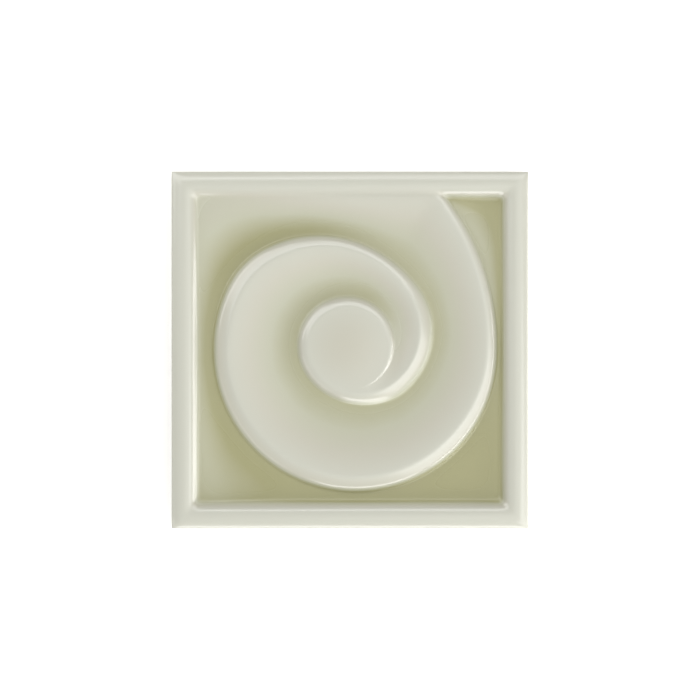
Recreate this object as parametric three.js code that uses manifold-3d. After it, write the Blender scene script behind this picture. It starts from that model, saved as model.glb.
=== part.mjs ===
// A square porcelain relief tile: a raised frame round one broad wave scroll, pressed and fired in one piece.
// Millimetres. The tile lies relief up, with its back on z = 0 and its middle on the z axis.
// A bearing is in degrees, counter-clockwise from +X about the middle of the scroll's eye, and goes on past
// 360 from one turn of the scroll to the next.

import * as THREE from 'three';
import { mergeVertices } from 'three/addons/utils/BufferGeometryUtils.js';
import Module from 'manifold-3d';

const wasm = await Module();
wasm.setup();

// Blank
const side = 100;
const thickness = 11;
const backChamfer = 0.6;

// Raised frame: a low bead that falls from its crown, at the full thickness, to the shoulder outside and to
// the lip inside. A plane face leads from the lip down to the panel.
const frameWidth = 6;
const crownInset = 3.5;
const shoulderDrop = 1.1;
const shoulderFullness = 2.2;
const lipDrop = 0.6;
const lipFullness = 2;
const faceSlope = 1.9;
const lipRound = 2.6;
const frameFootRound = 2.2;
const cornerRound = 2.5;

// Relief. A bevel runs along each crest, and outside it a wall falls to the valley.
const reliefDepth = 3.2;
const grooveDepth = 2.4;
const crestDrop = 0.3;
const wallSlope = 1.25;
const softWallSlope = 0.72;
const bevelSlope = 0.35;
const crestRound = 0.9;
const bevelRound = 0.3;
const footRound = 0.4;
const valleyWidth = 2.8;
const eyeDome = 0.25;
const groundLift = 1;
const waveSink = 1.8;

// The bevel widens with the square of its wall's height. Where the groove is shallow its edges are rounded
// less, over these shares of its wall's height. The valley takes no more than its share of a narrow turn.
const bevelGrowth = 0.26;
const crestRoundShare = 0.4;
const bevelRoundShare = 0.15;
const footRoundShare = 1.2;
const valleyShare = 0.2;

// Scroll line, the top edge of its wall: the round eye, then arcs that meet at tangents out to the frame
const eyeCentre = new THREE.Vector2(-0.82, 1.08);
const eyeRadius = 12.45;
const grooveStart = -75;
const eyeSweep = 281;
const scrollArcs = [
  { sweep: 97.5, radius: 16.4 },
  { sweep: 89.2, radius: 19.8 },
  { sweep: 85.3, radius: 30.9 },
  { sweep: 36.3, radius: 22.6 },
  { sweep: 202.8, radius: 38.1 },
];
const landingOffset = 24.4;
const landingRound = 3;
const slopeCornerRound = 36;

// Stretches of the scroll, as bearings: the groove sinks, its wall is softer for a while, then the groove
// drops to the ground and lifts again before the crest lands on the frame. Beyond, the slope that climbs to
// the frame sinks and then fades out.
const grooveSinks = { from: grooveStart, to: 75 };
const wallSoftens = { from: 260, to: 320 };
const wallFirms = { from: 375, to: 435 };
const grooveDrops = { from: 430, to: 510 };
const groundLifts = { from: 670, to: 745 };
const waveSinks = { from: 800, to: 890 };
const waveFades = { from: 930, to: 980 };

// Keying grooves in the back
const keyCount = 6;
const keyWidth = 7;
const keyPitch = 13;
const keyDepth = 0.8;
const keyMargin = 9;

// Fineness of the skin: its rays, and its rows on each turn. The rows crowd on a strip as wide as the wall
// and its margin, but no wider than a share of the turn.
const raysPerHalfSide = 8;
const wallSteps = 3;
const slopeSteps = 3;
const crestSteps = 2;
const frameSteps = 9;
const wallMargin = 1;
const widestStrip = 1 / 3;
const weldTolerance = 0.001;

const fullTurn = 360;
const wallRun = reliefDepth / wallSlope;
const lipHalf = side / 2 - frameWidth;
const footHalf = lipHalf - reliefDepth / faceSlope;

function unit(bearing) {
  const angle = THREE.MathUtils.degToRad(bearing);
  return new THREE.Vector2(Math.cos(angle), Math.sin(angle));
}

// The bearing of a point from the eye's middle, counted on the turn that is nearest to a known bearing
function bearingOf(point, near) {
  const out = unit(near);
  const offset = point.clone().sub(eyeCentre);
  return near + THREE.MathUtils.radToDeg(Math.atan2(out.cross(offset), out.dot(offset)));
}

function ease(value, { from, to }) {
  return THREE.MathUtils.smoothstep(value, from, to);
}

// The lower of two heights, with the corner between them rounded over a difference of span
function roundMin(a, b, span) {
  const overlap = Math.max(span - Math.abs(a - b), 0) / Math.max(span, Number.EPSILON);
  return Math.min(a, b) - (overlap ** 3 * span) / 6;
}

function roundMax(a, b, span) {
  return -roundMin(-a, -b, span);
}

function makeArc(centre, radius, heading) {
  const start = unit(heading).multiplyScalar(radius).add(centre);
  return { centre, radius, bearing: bearingOf(start, heading) };
}

// Each arc turns about a point on the closing radius of the one before. The last one passes the frame's lip.
function layArcs() {
  const arcs = [makeArc(eyeCentre, eyeRadius, grooveStart)];
  let heading = grooveStart + eyeSweep;
  for (const { sweep, radius } of scrollArcs) {
    const before = arcs.at(-1);
    const centre = unit(heading).multiplyScalar(before.radius - radius).add(before.centre);
    arcs.push(makeArc(centre, radius, heading));
    heading += sweep;
  }
  const out = unit(heading);
  const joint = out.clone().multiplyScalar(arcs.at(-1).radius).add(arcs.at(-1).centre);
  const chord = joint.clone().sub(new THREE.Vector2(landingOffset, lipHalf));
  const radius = chord.lengthSq() / (2 * chord.dot(out));
  arcs.push(makeArc(joint.clone().sub(out.multiplyScalar(radius)), radius, heading));
  return arcs;
}

const arcs = layArcs();
const scrollEnd = arcs.at(-1).bearing + fullTurn / 2;

function scrollRadius(bearing) {
  const arc = arcs.findLast((candidate) => bearing >= candidate.bearing) ?? arcs[0];
  const ray = unit(bearing);
  const offset = arc.centre.clone().sub(eyeCentre);
  const halfChord = Math.sqrt(Math.max(arc.radius ** 2 - ray.cross(offset) ** 2, 0));
  return ray.dot(offset) + Math.sign(arc.radius) * halfChord;
}

// How far a ray from the eye's middle runs before it leaves a square of the given half side
function squareReach(bearing, half, cornerRound = 0) {
  const ray = unit(bearing);
  const reachX = (half - Math.sign(ray.x) * eyeCentre.x) / Math.abs(ray.x);
  const reachY = (half - Math.sign(ray.y) * eyeCentre.y) / Math.abs(ray.y);
  return roundMin(reachX, reachY, cornerRound);
}

// The scroll line as built: it runs into the frame's lip, which bounds the wave from there on.
// The slope that climbs to the frame ends short of the lip's corners.
function lineRadius(bearing, cornerRound = 0) {
  const lip = squareReach(bearing, lipHalf, cornerRound);
  return bearing > scrollEnd ? lip : roundMin(scrollRadius(bearing), lip, landingRound);
}

// Heights count down from the crown of the frame
function crestHeight(bearing) {
  const waning = crestDrop + waveSink * ease(bearing, waveSinks);
  return -waning - (reliefDepth - waning) * ease(bearing, waveFades);
}

function valleyHeight(bearing) {
  const sunk = (grooveDepth - crestDrop) * ease(bearing, grooveSinks);
  const dropped = (reliefDepth - grooveDepth) * ease(bearing, grooveDrops);
  return groundLift * ease(bearing, groundLifts) - crestDrop - sunk - dropped;
}

function wallHeight(bearing) {
  return Math.max(crestHeight(bearing) - valleyHeight(bearing), 0);
}

function wallSteepness(bearing) {
  const soft = ease(bearing, wallSoftens) - ease(bearing, wallFirms);
  return THREE.MathUtils.lerp(wallSlope, softWallSlope, soft);
}

// A height that stays under the bevel along the line at this bearing and under the wall outside it
function cutByWall(height, distance, bearing) {
  const wall = wallHeight(bearing);
  const inside = lineRadius(bearing) - distance;
  const bevel = crestHeight(bearing) + bevelSlope * (inside - bevelGrowth * wall ** 2);
  const bevelled = roundMin(height, bevel, Math.min(bevelRound, bevelRoundShare * wall));
  const face = crestHeight(bearing) + wallSteepness(bearing) * inside;
  return roundMin(bevelled, face, Math.min(crestRound, crestRoundShare * wall));
}

function eyeHeight(distance, bearing) {
  const dome = eyeDome * Math.max(1 - (distance / eyeRadius) ** 2, 0) ** 2;
  const rounded = cutByWall(crestHeight(bearing) + dome, distance, bearing);
  return cutByWall(rounded, distance, bearing + fullTurn);
}

// One turn of the wave between two lines: low beside the inner one, it rises in an S-curve to the outer crest
function turnHeight(distance, bearing) {
  const inner = lineRadius(bearing - fullTurn);
  const outer = lineRadius(bearing, slopeCornerRound);
  const valley = Math.min(valleyWidth, valleyShare * (outer - inner));
  const rise = THREE.MathUtils.smoothstep(distance, inner + valley, outer);
  const slope = THREE.MathUtils.lerp(valleyHeight(bearing - fullTurn), crestHeight(bearing), rise);
  const under = wallSteepness(bearing - fullTurn) * Math.max(inner - distance, 0);
  return cutByWall(slope - under, distance, bearing);
}

function footSpan(bearing) {
  return Math.min(footRound, footRoundShare * wallHeight(bearing));
}

function frameHeight(inset) {
  const shoulder = shoulderDrop * (Math.max(crownInset - inset, 0) / crownInset) ** shoulderFullness;
  const lip = lipDrop * (Math.max(inset - crownInset, 0) / (frameWidth - crownInset)) ** lipFullness;
  return roundMin(-shoulder - lip, faceSlope * (frameWidth - inset), lipRound);
}

// The skin's rays run from the eye's middle to points spaced evenly round the frame
const rayCount = 8 * raysPerHalfSide;

// A point on the square from -1 to 1, counted round from the middle of its lower edge
function rimPoint(ray) {
  const along = (ray / raysPerHalfSide + 1) / 2;
  const edge = Math.floor(along);
  const point = new THREE.Vector2(2 * (along - edge) - 1, -1);
  return point.rotateAround(new THREE.Vector2(), (edge * Math.PI) / 2);
}

function rayBearing(ray) {
  return bearingOf(rimPoint(ray).multiplyScalar(footHalf), (fullTurn * ray) / rayCount - 90);
}

const seam = rayBearing(0);
const turnCount = Math.ceil((arcs.at(-1).bearing - seam) / fullTurn);

function reliefHeight(point, bearing) {
  const distance = point.distanceTo(eyeCentre);
  let relief = eyeHeight(distance, bearing);
  for (let turn = 1; turn <= turnCount; turn += 1) {
    const line = bearing + turn * fullTurn;
    relief = roundMax(relief, turnHeight(distance, line), footSpan(line - fullTurn));
  }
  const inset = side / 2 - roundMax(Math.abs(point.x), Math.abs(point.y), cornerRound);
  return thickness + roundMax(relief, frameHeight(inset), frameFootRound);
}

// Lines that the skin follows from the eye's middle outwards, the last one being the foot of the frame.
// Each line meets the next at the seam, so the skin winds out along the scroll without a break.
function skinLine(line, bearing) {
  if (line === 0) return 0;
  if (line === 1) return (eyeRadius * (bearing - seam)) / fullTurn;
  const foot = squareReach(bearing, footHalf);
  return line > turnCount + 1 ? foot : Math.min(lineRadius(bearing + (line - 2) * fullTurn), foot);
}

const stepsPerTurn = wallSteps + slopeSteps + crestSteps;
const panelRows = (turnCount + 2) * stepsPerTurn;
const skinRows = panelRows + frameSteps + 3;

// Rows crowd on the wall at the inner end of a turn and on the crest at its outer end
function rowDistance(row, bearing) {
  const line = Math.min(Math.floor(row / stepsPerTurn), turnCount + 1);
  const step = row - line * stepsPerTurn;
  const inner = skinLine(line, bearing);
  const outer = skinLine(line + 1, bearing);
  const wallStrip = Math.min(wallRun + wallMargin, widestStrip * (outer - inner));
  const left = stepsPerTurn - step;
  if (step <= wallSteps) return inner + (wallStrip * step) / wallSteps;
  if (left <= crestSteps) return outer - (wallStrip * left) / crestSteps;
  return THREE.MathUtils.lerp(inner + wallStrip, outer - wallStrip, (step - wallSteps) / slopeSteps);
}

// Rows run outwards over the panel and the frame, down the sides and in again to the middle of the underside.
// The last ray is the first one again, one turn of the scroll further out.
function skinPoint(ray, row) {
  if (ray === rayCount) return skinPoint(0, row > panelRows ? row : Math.min(row + stepsPerTurn, panelRows));
  const bearing = rayBearing(ray);
  if (row <= panelRows) {
    const point = unit(bearing).multiplyScalar(rowDistance(row, bearing)).add(eyeCentre);
    return new THREE.Vector3(point.x, point.y, reliefHeight(point, bearing));
  }
  const frameStep = row - panelRows;
  if (frameStep <= frameSteps) {
    const half = THREE.MathUtils.lerp(footHalf, side / 2, frameStep / frameSteps);
    const point = rimPoint(ray).multiplyScalar(half);
    return new THREE.Vector3(point.x, point.y, reliefHeight(point, bearingOf(point, bearing)));
  }
  const underside = [
    { half: side / 2, height: backChamfer },
    { half: side / 2 - backChamfer, height: 0 },
    { half: 0, height: 0 },
  ];
  const { half, height } = underside[frameStep - frameSteps - 1];
  const point = rimPoint(ray).multiplyScalar(half);
  return new THREE.Vector3(point.x, point.y, height);
}

// A flat sheet wrapped into the closed skin
function makeSkin() {
  const sheet = new THREE.PlaneGeometry(1, 1, rayCount, skinRows);
  for (let row = 0; row <= skinRows; row += 1) {
    for (let ray = 0; ray <= rayCount; ray += 1) {
      const { x, y, z } = skinPoint(ray, row);
      sheet.attributes.position.setXYZ(row * (rayCount + 1) + ray, x, y, z);
    }
  }
  return weld(sheet);
}

// Joins the points that coincide and leaves out the triangles that shrank to nothing
function weld(geometry) {
  geometry.deleteAttribute('normal');
  geometry.deleteAttribute('uv');
  const welded = mergeVertices(geometry, weldTolerance);
  const corners = [];
  for (let first = 0; first < welded.index.count; first += 3) {
    const triangle = [0, 1, 2].map((corner) => welded.index.getX(first + corner));
    if (new Set(triangle).size === 3) corners.push(...triangle);
  }
  welded.setIndex(corners);
  return welded;
}

function toSolid(geometry) {
  const mesh = new wasm.Mesh({
    numProp: 3,
    vertProperties: geometry.attributes.position.array,
    triVerts: new Uint32Array(geometry.index.array),
  });
  return new wasm.Manifold(mesh);
}

function toGeometry(solid) {
  const mesh = solid.getMesh();
  const geometry = new THREE.BufferGeometry();
  geometry.setAttribute('position', new THREE.BufferAttribute(mesh.vertProperties, 3));
  geometry.setIndex(new THREE.BufferAttribute(mesh.triVerts, 1));
  geometry.computeVertexNormals();
  return geometry;
}

// The adhesive keys into straight grooves across the underside, which stop short of the sides
function cutKeys(blank) {
  let solid = blank;
  for (let key = 0; key < keyCount; key += 1) {
    const groove = new THREE.BoxGeometry(side - 2 * keyMargin, keyWidth, 2 * keyDepth);
    groove.translate(0, (key - (keyCount - 1) / 2) * keyPitch, 0);
    solid = solid.subtract(toSolid(weld(groove)));
  }
  return solid;
}

const glazedPorcelain = new THREE.MeshStandardMaterial({ color: 0xcdcbba, roughness: 0.15, metalness: 0 });

const tile = new THREE.Mesh(toGeometry(cutKeys(toSolid(makeSkin()))), glazedPorcelain);
tile.name = 'tile';

const part = new THREE.Group();
part.add(tile);

export default part;
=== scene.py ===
import cmath
import math

import bpy
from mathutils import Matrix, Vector


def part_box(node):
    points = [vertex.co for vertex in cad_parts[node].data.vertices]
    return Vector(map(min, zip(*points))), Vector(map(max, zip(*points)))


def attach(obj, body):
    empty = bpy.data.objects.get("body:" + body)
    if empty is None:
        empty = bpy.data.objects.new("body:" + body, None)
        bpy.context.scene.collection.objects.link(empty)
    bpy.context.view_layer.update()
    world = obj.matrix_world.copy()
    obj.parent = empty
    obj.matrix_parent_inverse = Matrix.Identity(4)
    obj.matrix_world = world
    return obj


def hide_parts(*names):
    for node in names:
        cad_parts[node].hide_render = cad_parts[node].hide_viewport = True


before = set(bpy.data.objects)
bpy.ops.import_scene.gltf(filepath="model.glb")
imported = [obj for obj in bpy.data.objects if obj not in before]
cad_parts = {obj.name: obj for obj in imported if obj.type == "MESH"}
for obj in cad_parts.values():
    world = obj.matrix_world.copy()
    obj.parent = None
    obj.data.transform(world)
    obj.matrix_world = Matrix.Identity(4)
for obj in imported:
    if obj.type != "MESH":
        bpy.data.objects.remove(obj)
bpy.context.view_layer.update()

tileLow, tileHigh = (Vector(corner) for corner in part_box("tile"))
mm = 0.001
fullTurn = 360
firstRay = -90  # bearing of the first ray, which points at the lower edge
tiny = 1e-6  # keeps divisions and roundings off zero
noiseRoughness = 0.5
side = (tileHigh.x - tileLow.x) / mm
thickness = (tileHigh.z - tileLow.z) / mm


def addNode(tree, kind, *inputs, **settings):
    # adds a node, sets it up and joins or fills its sockets in order, where None skips one;
    # gives the first output that is live
    node = tree.nodes.new(kind)
    for name, value in settings.items():
        setattr(node, name, value)
    for socket, value in zip(node.inputs, inputs):
        if isinstance(value, bpy.types.NodeSocket):
            tree.links.new(value, socket)
        elif value is not None:
            socket.default_value = value
    return next((socket for socket in node.outputs if socket.enabled), None)


def srgb(code):
    # a hex colour as written for a screen, turned to linear light
    parts = [int(code[i:i + 2], 16) / 255 for i in (1, 3, 5)]
    return [*(p / 12.92 if p <= 0.04045 else ((p + 0.055) / 1.055) ** 2.4 for p in parts), 1]


# Scroll line: compass arcs that meet at tangents, from the round eye out to the frame's lip.
# A bearing is in degrees about the eye's middle and runs on past 360 from one turn to the next.
scroll = {
    "eyeCentre": complex(-0.82, 1.08),
    "eyeRadius": 12.45,
    "start": -75,
    "eyeSweep": 281,
    "arcs": [(97.5, 16.4), (89.2, 19.8), (85.3, 30.9), (36.3, 22.6), (202.8, 38.1)],  # sweep, radius
    "landing": 24.4,  # where the crest meets the frame's lip, to the right of the middle
    "landingRound": 3,
    "cornerRound": 36,  # keeps the slope that climbs to the frame out of the frame's corners
}

# Sizes of the pressed tile in millimetres and bearings in degrees; each one is an input of the node tree
tileSizes = {
    "Thickness": thickness,
    "Half side": side / 2,
    "Frame width": 6.0,
    "Crown inset": 3.5,
    "Shoulder drop": 1.1,
    "Shoulder fullness": 2.2,
    "Lip drop": 0.6,
    "Lip fullness": 2.0,
    "Lip round": 2.6,
    "Face slope": 1.9,
    "Frame foot round": 2.2,
    "Corner round": 2.5,
    "Relief depth": 3.2,
    "Groove depth": 2.4,
    "Crest drop": 0.3,
    "Wall slope": 1.25,
    "Soft wall slope": 0.72,
    "Wall softens": 260,
    "Wall soft": 320,
    "Wall firms": 375,
    "Wall firm": 435,
    "Bevel slope": 0.35,
    "Bevel growth": 0.26,  # the bevel along a crest widens with the square of its wall's height
    "Bevel round": 0.3,
    "Crest round": 0.9,
    "Foot round": 0.4,
    "Valley width": 2.8,  # width of the low stretch outside a line, before the slope begins
    "Valley share": 0.2,  # the most that the low stretch takes of the way to the next line
    "Eye radius": scroll["eyeRadius"],
    "Eye dome": 0.25,
    "Eye painted shade": 1.0,  # painted shade: how much darker and more olive the eye's middle is coloured, for the dim reflection its top shows
    "Groove starts": scroll["start"],
    "Groove sunk": 75,
    "Ground starts": 430,
    "Ground reached": 510,
    "Ground lift": 1.0,
    "Ground lifts": 670,
    "Ground lifted": 745,
    "Wave sink": 1.8,
    "Wave sinks": 800,
    "Wave sunk": 890,
    "Wave fades": 930,
    "Wave gone": 980,
    "Glaze levelling": 0.04,  # share of the way that the melt evens out the relief
    "Glaze edge": 2.5,
    "Glaze waves": 0.03,
    "Glaze wave length": 14,
    "Key width": 7,
    "Key pitch": 13,
    "Key depth": 0.8,
    "Key margin": 9,
}

# The most that the rounding of a bevel, a crest and a foot takes, as a share of the wall's height there
roundShares = {"bevel": 0.15, "crest": 0.4, "foot": 1.2}

# Fineness of the skin: rays round the tile, and rows across the wall, the slope and the crest of each turn
skin = {
    "raysPerHalfSide": 60,
    "wallSteps": 12,
    "slopeSteps": 8,
    "crestSteps": 10,
    "frameSteps": 24,
    "roundSteps": 4,
    "sideSteps": 6,
    "edgeRound": 0.35,
    "backRound": 0.6,
    "sideTop": 2.5,  # the side's first row lies this many edge roundings under the shoulder
    "sideFoot": 1.3,  # its last row lies this many back roundings up
    "backFlat": 1.5,  # the back's first flat row lies this many back roundings in
    "smoothBack": 2,  # smooth shading ends this many back roundings in
    "bevelRoom": 1,  # how much wider than the wall a crowded strip of rows is
    "stripShare": 1 / 3,  # the most that such a strip takes of the way between two lines
    "pole": 0.5,  # rows nearer to the eye's middle than this are drawn into it
    "pinch": 0.4,  # a strip narrower than this at the frame's foot is closed
    "weld": 0.0002,
    "keys": 6,
    "meltGrid": 99.4,  # span and points of the sheet on which the melt evens out, and its steps
    "meltPoints": 101,
    "meltSteps": 36,
    "dropFrom": 2,  # heights are dropped on that sheet from this many thicknesses up
    "dropReach": 3,  # and fall this many at the most
}

eyeCentre = scroll["eyeCentre"]
wallRun = tileSizes["Relief depth"] / tileSizes["Wall slope"]
footHalf = side / 2 - tileSizes["Frame width"] - tileSizes["Relief depth"] / tileSizes["Face slope"]
lipHalf = side / 2 - tileSizes["Frame width"]


def unit(bearing):
    return cmath.rect(1, math.radians(bearing))


def bearingOf(point, near):
    return near + math.degrees(cmath.phase((point - eyeCentre) / unit(near)))


def layArcs():
    # each arc turns about a point on the closing radius of the one before;
    # the last one passes through the landing on the frame's lip
    arcs = [(scroll["start"], eyeCentre, scroll["eyeRadius"])]
    heading = scroll["start"] + scroll["eyeSweep"]
    for sweep, radius in scroll["arcs"]:
        _, centre, before = arcs[-1]
        centre += unit(heading) * (before - radius)
        arcs.append((bearingOf(centre + unit(heading) * radius, heading), centre, radius))
        heading += sweep
    _, centre, radius = arcs[-1]
    joint = centre + unit(heading) * radius
    chord = joint - complex(scroll["landing"], lipHalf)
    radius = abs(chord) ** 2 / (2 * (chord / unit(heading)).real)
    arcs.append((bearingOf(joint, heading), joint - unit(heading) * radius, radius))
    return arcs


scrollArcs = layArcs()
scrollEnd = scrollArcs[-1][0] + fullTurn / 2


def scrollRadius(bearing):
    passed = [arc for arc in scrollArcs if arc[0] <= bearing]
    _, centre, radius = passed[-1] if passed else scrollArcs[0]
    offset = (centre - eyeCentre) / unit(bearing)  # real part along the ray, imaginary part across it
    return offset.real + math.copysign(math.sqrt(max(radius ** 2 - offset.imag ** 2, 0)), radius)


def roundMin(a, b, span):
    # the lower of two lengths, with the corner between them rounded over a difference of span,
    # by the formula of the node's own smooth minimum
    overlap = max(span - abs(a - b), 0) / max(span, tiny)
    return min(a, b) - overlap ** 3 * span / 6


def squareReach(bearing, half, cornerRound=0):
    # how far a ray from the eye's middle runs before it leaves a square of the given half side
    ray = unit(bearing)
    reachX = (half - math.copysign(eyeCentre.real, ray.real * eyeCentre.real)) / max(abs(ray.real), tiny)
    reachY = (half - math.copysign(eyeCentre.imag, ray.imag * eyeCentre.imag)) / max(abs(ray.imag), tiny)
    return roundMin(reachX, reachY, cornerRound)


def lineRadius(bearing, lip):
    # the scroll line as built: it runs into the frame's lip, which bounds the wave from there on
    return lip if bearing > scrollEnd else roundMin(scrollRadius(bearing), lip, scroll["landingRound"])


def rimPoint(ray):
    # a point on the square from -1 to 1, counted round from the middle of its lower edge
    along = (ray / skin["raysPerHalfSide"] + 1) / 2
    edge = math.floor(along)
    return complex(2 * (along - edge) - 1, -1) * 1j ** edge


rays = 8 * skin["raysPerHalfSide"]
rayBearings = [bearingOf(rimPoint(ray) * footHalf, fullTurn * ray / rays + firstRay) for ray in range(rays)]
seam = rayBearings[0]
turns = math.ceil((scrollArcs[-1][0] - seam) / fullTurn)
steps = skin["wallSteps"] + skin["slopeSteps"] + skin["crestSteps"]
panelRows = (turns + 2) * steps


def rimProfile():
    # half side and height of the rows that run from the panel's foot over the frame, down the side
    # and in under the back; where the middle number is 1 the height is counted from the relief
    half = side / 2
    rounding, underRound = skin["edgeRound"], skin["backRound"]
    rows = []
    for step in range(skin["frameSteps"] + 1):
        rows.append((footHalf + (half - rounding - footHalf) * step / skin["frameSteps"], 1, 0))
    for step in range(1, skin["roundSteps"] + 1):
        angle = math.pi / 2 * step / skin["roundSteps"]
        rows.append((half - rounding * (1 - math.sin(angle)), 1, -rounding * (1 - math.cos(angle))))
    top = thickness - tileSizes["Shoulder drop"] - rounding * skin["sideTop"]
    bottom = underRound * skin["sideFoot"]
    for step in range(skin["sideSteps"] + 1):
        rows.append((half, 0, top + (bottom - top) * step / skin["sideSteps"]))
    for step in range(skin["roundSteps"] + 1):
        angle = math.pi / 2 * step / skin["roundSteps"]
        rows.append((half - underRound * (1 - math.cos(angle)), 0, underRound * (1 - math.sin(angle))))
    rows.append((half - underRound * skin["backFlat"], 0, 0))
    rows.append((0, 0, 0))
    return rows


def makeGuide():
    # the lines that the skin is lofted between, from the eye's middle out to the foot of the frame;
    # each meets the next one at the seam, so the skin winds out along the scroll,
    # and the rows of the rim follow as loose points
    points, radii, slopeEnds, bearings = [], [], [], []
    for line in range(turns + 3):
        for ray, bearing in enumerate(rayBearings):
            foot = squareReach(bearing, footHalf)
            turned = bearing + (line - 2) * fullTurn
            onScroll = lineRadius(turned, squareReach(turned, lipHalf))
            reach = onScroll if onScroll < foot - skin["pinch"] and line < turns + 2 else foot
            if line < 2:
                reach = line * scroll["eyeRadius"] * (bearing - seam) / fullTurn
            place = eyeCentre + unit(bearing) * reach
            points.append((place.real, place.imag, 0))
            radii.append(onScroll)
            slopeEnds.append(lineRadius(turned, squareReach(turned, lipHalf, scroll["cornerRound"])))
            bearings.append(bearing)
    profile = rimProfile()
    guide = bpy.data.meshes.new("scrollGuide")
    guide.from_pydata(points + profile, [], [])
    for name, values in (("lineRadius", radii), ("slopeEnd", slopeEnds), ("bearing", bearings)):
        layer = guide.attributes.new(name, "FLOAT", "POINT")
        layer.data.foreach_set("value", values + [0] * len(profile))
    return bpy.data.objects.new("tile", guide), len(profile)


tile, profileRows = makeGuide()
bpy.context.scene.collection.objects.link(tile)
print("guide:", rays, "rays,", turns, "turns,", panelRows + profileRows, "rows")


def buildTileTree(material):
    tree = bpy.data.node_groups.new("pressedTile", "GeometryNodeTree")
    tree.is_modifier = True
    tree.interface.new_socket("Geometry", in_out="INPUT", socket_type="NodeSocketGeometry")
    tree.interface.new_socket("Geometry", in_out="OUTPUT", socket_type="NodeSocketGeometry")
    for name, value in tileSizes.items():
        tree.interface.new_socket(name, in_out="INPUT", socket_type="NodeSocketFloat").default_value = value
    entry = tree.nodes.new("NodeGroupInput")
    size = entry.outputs
    guide = size["Geometry"]

    def add(kind, *inputs, **settings):
        return addNode(tree, kind, *inputs, **settings)

    def sampled(field, index, dataType):
        return add("GeometryNodeSampleIndex", guide, field, index, data_type=dataType, clamp=True)

    def axes(vector):
        return add("ShaderNodeSeparateXYZ", vector).node.outputs

    def eased(field, start, end, low, high):
        # runs from low to high in an S-curve while the field runs from start to end
        return add("ShaderNodeMapRange", field, start, end, low, high, interpolation_type="SMOOTHSTEP")

    def store(geometry, name, value):
        return add("GeometryNodeStoreNamedAttribute", geometry, None, name, value,
                   data_type="FLOAT", domain="POINT")

    def stored(name):
        return add("GeometryNodeInputNamedAttribute", name, data_type="FLOAT")

    # Row and ray of each point of a sheet; the last ray is the first one again,
    # one turn of the scroll further out
    sheet = add("GeometryNodeMeshGrid", 1.0, 1.0, panelRows + profileRows, rays + 1)
    index = add("GeometryNodeInputIndex")
    sheetRow = add("FunctionNodeIntegerMath", index, rays + 1, operation="DIVIDE_FLOOR")
    sheetRay = add("FunctionNodeIntegerMath", index, rays + 1, operation="MODULO")
    ray = add("FunctionNodeIntegerMath", sheetRay, rays, operation="MODULO")
    wraps = add("FunctionNodeIntegerMath", sheetRay, rays, operation="DIVIDE_FLOOR")
    shifted = add("FunctionNodeIntegerMath", wraps, steps, sheetRow, operation="MULTIPLY_ADD")
    onPanel = add("FunctionNodeIntegerMath", shifted, panelRows, operation="MINIMUM")
    row = add("FunctionNodeIntegerMath", onPanel, sheetRow, operation="MAXIMUM")

    # Panel: from the inner line to the outer one, with rows crowding on the wall and on the crest
    band = add("FunctionNodeIntegerMath", row, steps, operation="DIVIDE_FLOOR")
    band = add("FunctionNodeIntegerMath", band, turns + 1, operation="MINIMUM")
    innerIndex = add("FunctionNodeIntegerMath", band, rays, ray, operation="MULTIPLY_ADD")
    outerIndex = add("FunctionNodeIntegerMath", innerIndex, rays, operation="ADD")
    position = add("GeometryNodeInputPosition")
    inner = sampled(position, innerIndex, "FLOAT_VECTOR")
    outer = sampled(position, outerIndex, "FLOAT_VECTOR")
    width = add("ShaderNodeVectorMath", inner, outer, operation="DISTANCE").node.outputs["Value"]
    strip = add("ShaderNodeMath", width, skin["stripShare"], operation="MULTIPLY")
    strip = add("ShaderNodeMath", strip, wallRun + skin["bevelRoom"], operation="MINIMUM")
    rest = add("ShaderNodeMath", strip, -2.0, width, operation="MULTIPLY_ADD")
    step = add("FunctionNodeIntegerMath", band, -steps, row, operation="MULTIPLY_ADD")
    wallEnd, slopeEnd = skin["wallSteps"], skin["wallSteps"] + skin["slopeSteps"]
    onWall = add("ShaderNodeMapRange", step, 0.0, wallEnd, 0.0, strip)
    onSlope = add("ShaderNodeMapRange", step, wallEnd, slopeEnd, 0.0, rest)
    onCrest = add("ShaderNodeMapRange", step, slopeEnd, steps, 0.0, strip)
    walked = add("ShaderNodeMath", onWall, onSlope, operation="ADD")
    walked = add("ShaderNodeMath", walked, onCrest, operation="ADD")
    share = add("ShaderNodeMath", walked, width, operation="DIVIDE")
    middle = (eyeCentre.real, eyeCentre.imag, 0)
    panelPlace = add("ShaderNodeMix", share, None, None, None, inner, outer, data_type="VECTOR")
    fromPole = add("ShaderNodeVectorMath", panelPlace, middle, operation="DISTANCE").node.outputs["Value"]
    inPole = add("FunctionNodeCompare", fromPole, skin["pole"], operation="LESS_THAN")
    panelPlace = add("GeometryNodeSwitch", inPole, panelPlace, middle, input_type="VECTOR")

    # Rim: the foot points of the frame pushed out to the half side of each row
    rimRow = add("FunctionNodeIntegerMath", row, panelRows, operation="SUBTRACT")
    rimIndex = add("FunctionNodeIntegerMath", rimRow, 0, operation="MAXIMUM")
    rimIndex = add("FunctionNodeIntegerMath", rimIndex, (turns + 3) * rays, operation="ADD")
    rim = axes(sampled(position, rimIndex, "FLOAT_VECTOR"))
    footIndex = add("FunctionNodeIntegerMath", ray, (turns + 2) * rays, operation="ADD")
    foot = sampled(position, footIndex, "FLOAT_VECTOR")
    pushed = add("ShaderNodeMath", rim["X"], footHalf, operation="DIVIDE")
    rimPlace = add("ShaderNodeVectorMath", foot, None, None, pushed, operation="SCALE")
    isRim = add("FunctionNodeCompare", None, None, rimRow, 0, data_type="INT", operation="GREATER_THAN")
    place = add("GeometryNodeSwitch", isRim, panelPlace, rimPlace, input_type="VECTOR")

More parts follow.
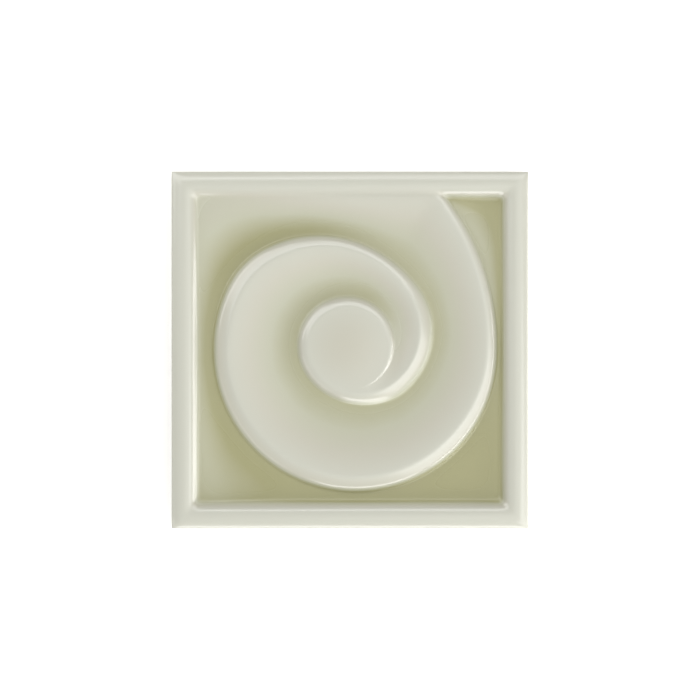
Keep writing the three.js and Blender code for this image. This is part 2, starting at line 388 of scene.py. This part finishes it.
    # Heights count down from the crown of the frame
    rayBearing = sampled(stored("bearing"), ray, "FLOAT")
    reach = stored("lineRadius")
    slopeReach = stored("slopeEnd")
    distance = add("ShaderNodeVectorMath", place, middle, operation="DISTANCE").node.outputs["Value"]
    minusCrest = add("ShaderNodeMath", size["Crest drop"], -1.0, operation="MULTIPLY")
    waveLow = add("ShaderNodeMath", minusCrest, size["Wave sink"], operation="SUBTRACT")
    minusGroove = add("ShaderNodeMath", size["Groove depth"], -1.0, operation="MULTIPLY")
    minusRelief = add("ShaderNodeMath", size["Relief depth"], -1.0, operation="MULTIPLY")
    belowGroove = add("ShaderNodeMath", size["Groove depth"], size["Relief depth"], operation="SUBTRACT")

    def scrollLine(turn):
        # one line of the scroll: its radius, its crest, the valley outside it,
        # and roundings that shrink with its wall
        bearing = add("ShaderNodeMath", rayBearing, float(turn * fullTurn), operation="ADD")
        lineIndex = add("FunctionNodeIntegerMath", ray, (turn + 2) * rays, operation="ADD")
        waning = eased(bearing, size["Wave sinks"], size["Wave sunk"], minusCrest, waveLow)
        crest = eased(bearing, size["Wave fades"], size["Wave gone"], waning, minusRelief)
        sunk = eased(bearing, size["Groove starts"], size["Groove sunk"], minusCrest, minusGroove)
        dropped = eased(bearing, size["Ground starts"], size["Ground reached"], 0.0, belowGroove)
        lifted = eased(bearing, size["Ground lifts"], size["Ground lifted"], 0.0, size["Ground lift"])
        valley = add("ShaderNodeMath", sunk, dropped, operation="ADD")
        valley = add("ShaderNodeMath", valley, lifted, operation="ADD")
        softer = eased(bearing, size["Wall softens"], size["Wall soft"], size["Wall slope"],
                       size["Soft wall slope"])
        steepness = eased(bearing, size["Wall firms"], size["Wall firm"], softer, size["Wall slope"])
        wall = add("ShaderNodeMath", crest, valley, operation="SUBTRACT")
        wall = add("ShaderNodeMath", wall, tiny, operation="MAXIMUM")
        wallSquared = add("ShaderNodeMath", wall, wall, operation="MULTIPLY")
        bevelSpan = add("ShaderNodeMath", wall, roundShares["bevel"], operation="MULTIPLY")
        crestSpan = add("ShaderNodeMath", wall, roundShares["crest"], operation="MULTIPLY")
        footSpan = add("ShaderNodeMath", wall, roundShares["foot"], operation="MULTIPLY")
        return {
            "radius": sampled(reach, lineIndex, "FLOAT"),
            "slopeEnd": sampled(slopeReach, lineIndex, "FLOAT"),
            "crest": crest,
            "valley": valley,
            "steepness": steepness,
            "bevel": add("ShaderNodeMath", wallSquared, size["Bevel growth"], operation="MULTIPLY"),
            "bevelSpan": add("ShaderNodeMath", bevelSpan, size["Bevel round"], operation="MINIMUM"),
            "crestSpan": add("ShaderNodeMath", crestSpan, size["Crest round"], operation="MINIMUM"),
            "footSpan": add("ShaderNodeMath", footSpan, size["Foot round"], operation="MINIMUM"),
        }

    def cutByWall(height, line):
        # keeps a height under the bevel along a line and under the wall that falls away outside it
        inside = add("ShaderNodeMath", line["radius"], distance, operation="SUBTRACT")
        bevel = add("ShaderNodeMath", inside, line["bevel"], operation="SUBTRACT")
        bevel = add("ShaderNodeMath", bevel, size["Bevel slope"], line["crest"], operation="MULTIPLY_ADD")
        height = add("ShaderNodeMath", height, bevel, line["bevelSpan"], operation="SMOOTH_MIN")
        wall = add("ShaderNodeMath", inside, line["steepness"], line["crest"], operation="MULTIPLY_ADD")
        return add("ShaderNodeMath", height, wall, line["crestSpan"], operation="SMOOTH_MIN")

    lines = [scrollLine(turn) for turn in range(turns + 1)]
    inEye = add("ShaderNodeMath", distance, size["Eye radius"], operation="DIVIDE")
    inEye = add("ShaderNodeMath", inEye, inEye, operation="MULTIPLY")
    inEye = add("ShaderNodeMath", 1.0, inEye, operation="SUBTRACT")
    inEye = add("ShaderNodeMath", inEye, 0.0, operation="MAXIMUM")
    inEye = add("ShaderNodeMath", inEye, inEye, operation="MULTIPLY")
    dome = add("ShaderNodeMath", inEye, size["Eye dome"], lines[0]["crest"], operation="MULTIPLY_ADD")
    relief = cutByWall(cutByWall(dome, lines[0]), lines[1])
    for line, nextLine in zip(lines, lines[1:]):
        valleyWidth = add("ShaderNodeMath", nextLine["slopeEnd"], line["radius"], operation="SUBTRACT")
        valleyWidth = add("ShaderNodeMath", valleyWidth, size["Valley share"], operation="MULTIPLY")
        valleyWidth = add("ShaderNodeMath", valleyWidth, size["Valley width"], operation="MINIMUM")
        slopeStart = add("ShaderNodeMath", line["radius"], valleyWidth, operation="ADD")
        slope = eased(distance, slopeStart, nextLine["slopeEnd"], line["valley"], nextLine["crest"])
        under = add("ShaderNodeMath", line["radius"], distance, operation="SUBTRACT")
        under = add("ShaderNodeMath", under, 0.0, operation="MAXIMUM")
        under = add("ShaderNodeMath", under, line["steepness"], operation="MULTIPLY")
        slope = add("ShaderNodeMath", slope, under, operation="SUBTRACT")
        turnTop = cutByWall(slope, nextLine)
        relief = add("ShaderNodeMath", relief, turnTop, line["footSpan"], operation="SMOOTH_MAX")

    # Frame: a low bead that falls from its crown to the shoulder outside and to the lip inside,
    # then a plane inner face
    offset = axes(add("ShaderNodeVectorMath", place, operation="ABSOLUTE"))
    furthest = add("ShaderNodeMath", offset["X"], offset["Y"], size["Corner round"], operation="SMOOTH_MAX")
    inset = add("ShaderNodeMath", size["Half side"], furthest, operation="SUBTRACT")
    shoulder = add("ShaderNodeMath", size["Crown inset"], inset, operation="SUBTRACT")
    shoulder = add("ShaderNodeMath", shoulder, size["Crown inset"], operation="DIVIDE")
    shoulder = add("ShaderNodeMath", shoulder, 0.0, operation="MAXIMUM")
    shoulder = add("ShaderNodeMath", shoulder, size["Shoulder fullness"], operation="POWER")
    lip = add("ShaderNodeMath", inset, size["Crown inset"], operation="SUBTRACT")
    lipWidth = add("ShaderNodeMath", size["Frame width"], size["Crown inset"], operation="SUBTRACT")
    lip = add("ShaderNodeMath", lip, lipWidth, operation="DIVIDE")
    lip = add("ShaderNodeMath", lip, 0.0, operation="MAXIMUM")
    lip = add("ShaderNodeMath", lip, size["Lip fullness"], operation="POWER")
    lip = add("ShaderNodeMath", lip, size["Lip drop"], operation="MULTIPLY")
    bead = add("ShaderNodeMath", shoulder, size["Shoulder drop"], lip, operation="MULTIPLY_ADD")
    bead = add("ShaderNodeMath", bead, -1.0, operation="MULTIPLY")
    face = add("ShaderNodeMath", size["Frame width"], inset, operation="SUBTRACT")
    face = add("ShaderNodeMath", face, size["Face slope"], operation="MULTIPLY")
    bead = add("ShaderNodeMath", bead, face, size["Lip round"], operation="SMOOTH_MIN")
    relief = add("ShaderNodeMath", relief, bead, size["Frame foot round"], operation="SMOOTH_MAX")

    # The pressed clay, before its glaze
    top = add("ShaderNodeMath", relief, size["Thickness"], operation="ADD")
    height = add("ShaderNodeMath", top, rim["Y"], rim["Z"], operation="MULTIPLY_ADD")
    plan = axes(place)
    pressed = add("ShaderNodeCombineXYZ", plan["X"], plan["Y"], height)
    body = add("GeometryNodeSetPosition", sheet, None, pressed)
    body = store(body, "onTop", rim["Y"])
    # painted shade on the eye's middle, kept for the material
    body = store(body, "eyePool", add("ShaderNodeMath", inEye, size["Eye painted shade"], operation="MULTIPLY"))

    # Melted glaze: the heights are dropped on an even grid, run level there and are read back by the skin.
    # How far a point lies under the level surface says how much glaze pooled there.
    span, points = skin["meltGrid"], skin["meltPoints"]
    grid = add("GeometryNodeMeshGrid", span, span, points, points)
    above = add("ShaderNodeVectorMath", position, (0, 0, skin["dropFrom"] * thickness), operation="ADD")
    drop = add("GeometryNodeRaycast", body, None, above, (0, 0, -1), skin["dropReach"] * thickness).node
    grid = store(grid, "level", axes(drop.outputs["Hit Position"])["Z"])
    level = stored("level")
    evened = add("GeometryNodeBlurAttribute", level, skin["meltSteps"], 1.0, data_type="FLOAT")
    grid = store(grid, "level", evened)
    here = axes(position)
    below = add("ShaderNodeCombineXYZ", here["X"], here["Y"], 0.0)
    level = add("GeometryNodeSampleNearestSurface", grid, level, None, below, data_type="FLOAT")
    onTop = stored("onTop")
    outward = axes(add("ShaderNodeVectorMath", position, operation="ABSOLUTE"))
    rimward = add("ShaderNodeMath", outward["X"], outward["Y"], operation="MAXIMUM")
    fromEdge = add("ShaderNodeMath", size["Half side"], rimward, operation="SUBTRACT")
    held = add("ShaderNodeMapRange", fromEdge, 0.0, size["Glaze edge"], 0.0, onTop)
    pool = add("ShaderNodeMath", level, here["Z"], operation="SUBTRACT")
    pool = add("ShaderNodeMath", pool, held, operation="MULTIPLY")
    body = store(body, "glazePool", pool)
    pooled = stored("glazePool")
    waveScale = add("ShaderNodeMath", 1.0, size["Glaze wave length"], operation="DIVIDE")
    wave = add("ShaderNodeTexNoise", position, None, waveScale, 1.0, noiseRoughness)
    wave = add("ShaderNodeMath", wave, size["Glaze waves"], operation="MULTIPLY")
    wave = add("ShaderNodeMath", wave, onTop, operation="MULTIPLY")
    melted = add("ShaderNodeMath", pooled, size["Glaze levelling"], operation="MULTIPLY")
    melted = add("ShaderNodeMath", melted, wave, operation="SUBTRACT")
    body = add("GeometryNodeSetPosition", body, None, None, add("ShaderNodeCombineXYZ", 0.0, 0.0, melted))
    body = add("GeometryNodeTransform", body, None, None, (mm, mm, mm))
    body = add("GeometryNodeMergeByDistance", body, None, skin["weld"] * mm)

    # Keying grooves: one cutter, repeated across the back and taken out of it
    keyHalf = add("ShaderNodeMath", size["Half side"], size["Key margin"], operation="SUBTRACT")
    keyHalf = add("ShaderNodeMath", keyHalf, mm, operation="MULTIPLY")
    minusHalf = add("ShaderNodeMath", keyHalf, -1.0, operation="MULTIPLY")
    keyLine = add("GeometryNodeCurvePrimitiveLine", add("ShaderNodeCombineXYZ", minusHalf),
                  add("ShaderNodeCombineXYZ", keyHalf))
    keyTop = add("ShaderNodeMath", size["Key width"], mm, operation="MULTIPLY")
    keyTall = add("ShaderNodeMath", size["Key depth"], 2 * mm, operation="MULTIPLY")
    keyOutline = add("GeometryNodeCurvePrimitiveQuadrilateral", keyTop, keyTall, mode="RECTANGLE")
    key = add("GeometryNodeCurveToMesh", keyLine, keyOutline, None, True)
    pitch = add("ShaderNodeMath", size["Key pitch"], mm, operation="MULTIPLY")
    first = add("ShaderNodeMath", pitch, (1 - skin["keys"]) / 2, operation="MULTIPLY")
    places = add("GeometryNodeMeshLine", skin["keys"], None, add("ShaderNodeCombineXYZ", 0.0, first),
                 add("ShaderNodeCombineXYZ", 0.0, pitch))
    keys = add("GeometryNodeInstanceOnPoints", places, None, key)
    keys = add("GeometryNodeRealizeInstances", keys)
    body = add("GeometryNodeMeshBoolean", body, keys, operation="DIFFERENCE", solver="MANIFOLD")

    # Shading is smooth but for the flat back and its grooves
    backHalf = add("ShaderNodeMath", size["Half side"], skin["smoothBack"] * skin["backRound"],
                   operation="SUBTRACT")
    backHalf = add("ShaderNodeMath", backHalf, mm, operation="MULTIPLY")
    belowKeys = add("ShaderNodeMath", keyTall, here["Z"], operation="SUBTRACT")
    onSide = add("FunctionNodeCompare", rimward, backHalf, operation="GREATER_THAN")
    overKeys = add("FunctionNodeCompare", belowKeys, 0.0, operation="LESS_THAN")
    rounded = add("FunctionNodeBooleanMath", onSide, overKeys, operation="OR")
    body = add("GeometryNodeSetShadeSmooth", body, None, False)
    body = add("GeometryNodeSetShadeSmooth", body, rounded, True)
    body = add("GeometryNodeRealizeInstances", body)
    body = add("GeometryNodeSetMaterial", body, None, material)
    tree.links.new(body, tree.nodes.new("NodeGroupOutput").inputs["Geometry"])
    return tree


# Lengths in millimetres
glaze = {
    # colours from where the glaze lies thinnest, at 0, to where it lies thickest, at 1
    "tints": [(0.0, "#ABABA0"), (0.31, "#A7A598"), (0.63, "#A1A18F"), (1.0, "#8A8865")],
    "roughness": 0.2,
    "ior": 1.6,
    "poolDepth": 0.15,  # how far a millimetre of levelling deepens the colour
    "drawnBack": 3.5,  # the melt drew back from the outer edge over this width
    "mottle": 0.05,
    "mottleSize": 7,
    "mottleDetail": 3,
    "dullFrom": 0.1,  # it cooled duller where more than this much pooled
    "dullTo": 1.1,  # and dullest where this much did
    "dullest": 0.42,
    "dulling": 0.05,
    "dullPatch": 16,
    "dullDetail": 2,
    "ripple": 0.004,
    "rippleSize": 2.5,
    "rippleDetail": 1,
    "lineHeight": 2.0,  # where the glaze stops on the sides, how far that line wanders, and the roll along it
    "lineWander": 1.4,
    "wanderSize": 12,
    "wanderDetail": 2,
    "lineSoft": 0.12,
    "roll": 0.3,
    "rollWidth": 0.8,
}

bisque = {
    "colour": "#BFB8AA",
    "paleColour": "#D0CABE",
    "cloudSize": 9,
    "cloudDetail": 4,
    "grain": 0.02,
    "grainSize": 0.5,
    "grainDetail": 3,
    "roughness": 0.8,
}


def makeGlazedPorcelain():
    # Glazed porcelain: a fired white body under a glossy celadon glaze that was poured and melted smooth.
    # The glaze runs thin and pale over the crests and edges and lies thick and olive in the hollows, with
    # faint clouding. It was wiped off the foot before firing, so the back and the foot of the sides are
    # bare, matt bisque.
    material = bpy.data.materials.new("celadonGlazedPorcelain")
    material.use_nodes = True
    tree = material.node_tree
    tree.nodes.clear()

    def add(kind, *inputs, **settings):
        return addNode(tree, kind, *inputs, **settings)

    place = add("ShaderNodeTexCoord").node.outputs["Object"]

    def clouds(size, detail):
        return add("ShaderNodeTexNoise", place, None, 1 / (size * mm), float(detail), noiseRoughness)

    def swing(field, span):
        # a field from 0 to 1 turned into one that swings by half the span about 0
        return add("ShaderNodeMath", field, span, -span / 2, operation="MULTIPLY_ADD")

    def blend(share, first, second):
        # mixes two colours, whose sockets come after six others
        return add("ShaderNodeMix", share, *[None] * 5, first, second, data_type="RGBA")

    # Thickness of the glaze as a share of the most it reaches, with painted shade added on the eye's middle
    height = add("ShaderNodeSeparateXYZ", place).node.outputs["Z"]
    top = thickness * mm
    sunk = add("ShaderNodeMapRange", height, top, top - tileSizes["Relief depth"] * mm, 0.0, 1.0)
    pool = add("ShaderNodeAttribute", attribute_name="glazePool").node.outputs["Fac"]
    amount = add("ShaderNodeMath", pool, glaze["poolDepth"], sunk, operation="MULTIPLY_ADD")
    # Painted shade: the eye's middle is darkened towards the olive tints
    eyePool = add("ShaderNodeAttribute", attribute_name="eyePool").node.outputs["Fac"]
    amount = add("ShaderNodeMath", eyePool, 1 / tileSizes["Relief depth"], amount, operation="MULTIPLY_ADD")
    mottled = swing(clouds(glaze["mottleSize"], glaze["mottleDetail"]), glaze["mottle"])
    amount = add("ShaderNodeMath", amount, mottled, operation="ADD")
    flat = add("ShaderNodeSeparateXYZ", add("ShaderNodeVectorMath", place, operation="ABSOLUTE")).node.outputs
    furthest = add("ShaderNodeMath", flat["X"], flat["Y"], operation="MAXIMUM")
    edge = side / 2 * mm
    covered = add("ShaderNodeMapRange", furthest, edge - glaze["drawnBack"] * mm, edge, 1.0, 0.0)
    amount = add("ShaderNodeMath", amount, covered, operation="MULTIPLY")

    # Glaze line on the sides, with a thin roll of glaze along it
    line = swing(clouds(glaze["wanderSize"], glaze["wanderDetail"]), glaze["lineWander"] * mm)
    aboveLine = add("ShaderNodeMath", height, line, operation="SUBTRACT")
    aboveLine = add("ShaderNodeMath", aboveLine, glaze["lineHeight"] * mm, operation="SUBTRACT")
    glazed = add("ShaderNodeMapRange", aboveLine, 0.0, glaze["lineSoft"] * mm, 0.0, 1.0)
    roll = add("ShaderNodeMapRange", aboveLine, 0.0, glaze["rollWidth"] * mm, glaze["roll"], 0.0)
    amount = add("ShaderNodeMath", amount, roll, operation="ADD", use_clamp=True)

    ramp = add("ShaderNodeValToRGB", amount).node
    stops = ramp.color_ramp.elements
    while len(stops) < len(glaze["tints"]):
        stops.new(1.0)
    for stop, (share, code) in zip(stops, glaze["tints"]):
        stop.position = share
        stop.color = srgb(code)
    clouded = clouds(bisque["cloudSize"], bisque["cloudDetail"])
    bare = blend(clouded, srgb(bisque["colour"]), srgb(bisque["paleColour"]))
    colour = blend(glazed, bare, ramp.outputs["Color"])
    dulled = swing(clouds(glaze["dullPatch"], glaze["dullDetail"]), glaze["dulling"])
    shine = add("ShaderNodeMapRange", pool, glaze["dullFrom"], glaze["dullTo"], glaze["roughness"],
                glaze["dullest"], interpolation_type="SMOOTHSTEP")
    shine = add("ShaderNodeMath", dulled, shine, operation="ADD")
    roughness = add("ShaderNodeMix", glazed, None, bisque["roughness"], shine, data_type="FLOAT")
    ripple = clouds(glaze["rippleSize"], glaze["rippleDetail"])
    ripple = add("ShaderNodeMath", ripple, glaze["ripple"] * mm, operation="MULTIPLY")
    grain = clouds(bisque["grainSize"], bisque["grainDetail"])
    grain = add("ShaderNodeMath", grain, bisque["grain"] * mm, operation="MULTIPLY")
    surface = add("ShaderNodeMix", glazed, None, grain, ripple, data_type="FLOAT")

    bump = tree.nodes.new("ShaderNodeBump")
    bump.inputs["Distance"].default_value = 1
    tree.links.new(surface, bump.inputs["Height"])
    shader = tree.nodes.new("ShaderNodeBsdfPrincipled")
    shader.inputs["IOR"].default_value = glaze["ior"]
    tree.links.new(colour, shader.inputs["Base Color"])
    tree.links.new(roughness, shader.inputs["Roughness"])
    tree.links.new(bump.outputs["Normal"], shader.inputs["Normal"])
    output = tree.nodes.new("ShaderNodeOutputMaterial")
    tree.links.new(shader.outputs["BSDF"], output.inputs["Surface"])
    return material


def dressTile():
    tree = buildTileTree(makeGlazedPorcelain())
    modifier = tile.modifiers.new("pressedTile", "NODES")
    modifier.node_group = tree
    for item in tree.interface.items_tree:
        if item.in_out == "INPUT" and item.name in tileSizes:
            modifier[item.identifier] = float(tileSizes[item.name])
    bpy.context.view_layer.update()
    shaped = tile.evaluated_get(bpy.context.evaluated_depsgraph_get())
    mesh = bpy.data.meshes.new_from_object(shaped)
    tile.modifiers.remove(modifier)
    tile.data = mesh
    tile.name = "tile_glazed"
    mesh.calc_loop_triangles()
    print("tile:", len(mesh.vertices), "points,", len(mesh.loop_triangles), "triangles")
    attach(tile, "root")
    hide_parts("tile")


dressTile()

# Studio: a white floor between softboxes. The long low key at the lower right is the strongest,
# and the others stand round the tile and above it.
studio = {
    "floorSize": 6.0,
    "floorColour": "#FCFCFB",
    "floorRoughness": 0.9,
    "worldStrength": 0.342,
    "cameraLens": 120,
    "sensor": 36,
    "pictureWidth": 196.1 * mm,  # what the picture spans at the tile's top edge
    "lightDistance": 0.7,
    "softboxes": [
        # name, azimuth, elevation, width, height, power
        ("keySoftbox", -25, 10, 0.9, 0.24, 4.37),
        ("frontSoftbox", -85, 18, 0.5, 0.34, 2.66),
        ("leftSoftbox", 145, 28, 0.6, 0.3, 1.88),
        ("upperLeftSoftbox", 130, 52, 0.5, 0.35, 1.55),
        ("farLeftSoftbox", 215, 27, 0.55, 0.27, 0.64),
        ("backSoftbox", 65, 48, 0.55, 0.35, 1.57),
        ("rightSoftbox", -35, 45, 0.6, 0.4, 2.27),
        ("topSoftbox", -20, 70, 0.5, 0.4, 0.42),
    ],
}


def makeStudio():
    bpy.ops.mesh.primitive_plane_add(size=studio["floorSize"])
    floor = bpy.context.object
    floor.name = "studio_floor"
    paint = bpy.data.materials.new("mattWhitePaint")
    paint.use_nodes = True
    coat = paint.node_tree.nodes["Principled BSDF"].inputs
    coat["Base Color"].default_value = srgb(studio["floorColour"])
    coat["Roughness"].default_value = studio["floorRoughness"]
    floor.data.materials.append(paint)
    target = Vector((0, 0, thickness * mm))
    for name, azimuth, elevation, width, height, power in studio["softboxes"]:
        lamp = bpy.data.lights.new(name, "AREA")
        lamp.shape = "RECTANGLE"
        lamp.size = width
        lamp.size_y = height
        lamp.energy = power
        light = bpy.data.objects.new(name, lamp)
        flat = math.cos(math.radians(elevation))
        direction = Vector((flat * math.cos(math.radians(azimuth)), flat * math.sin(math.radians(azimuth)),
                            math.sin(math.radians(elevation))))
        light.location = target + direction * studio["lightDistance"]
        light.rotation_euler = direction.to_track_quat("Z", "Y").to_euler()
        bpy.context.scene.collection.objects.link(light)
    world = bpy.data.worlds.new("softSky")
    world.use_nodes = True
    sky = world.node_tree.nodes["Background"].inputs
    sky["Color"].default_value = (1, 1, 1, 1)
    sky["Strength"].default_value = studio["worldStrength"]
    bpy.context.scene.world = world
    bpy.context.scene.view_settings.view_transform = "Standard"


def makeCamera():
    lens = bpy.data.cameras.new("camera")
    lens.lens = studio["cameraLens"]
    lens.sensor_width = studio["sensor"]
    camera = bpy.data.objects.new("camera", lens)
    above = studio["pictureWidth"] * studio["cameraLens"] / studio["sensor"]
    edgeHeight = (thickness - tileSizes["Shoulder drop"] - skin["edgeRound"]) * mm
    camera.location = (0, 0, edgeHeight + above)
    bpy.context.scene.collection.objects.link(camera)
    bpy.context.scene.camera = camera


makeStudio()
makeCamera()
print("studio ready")
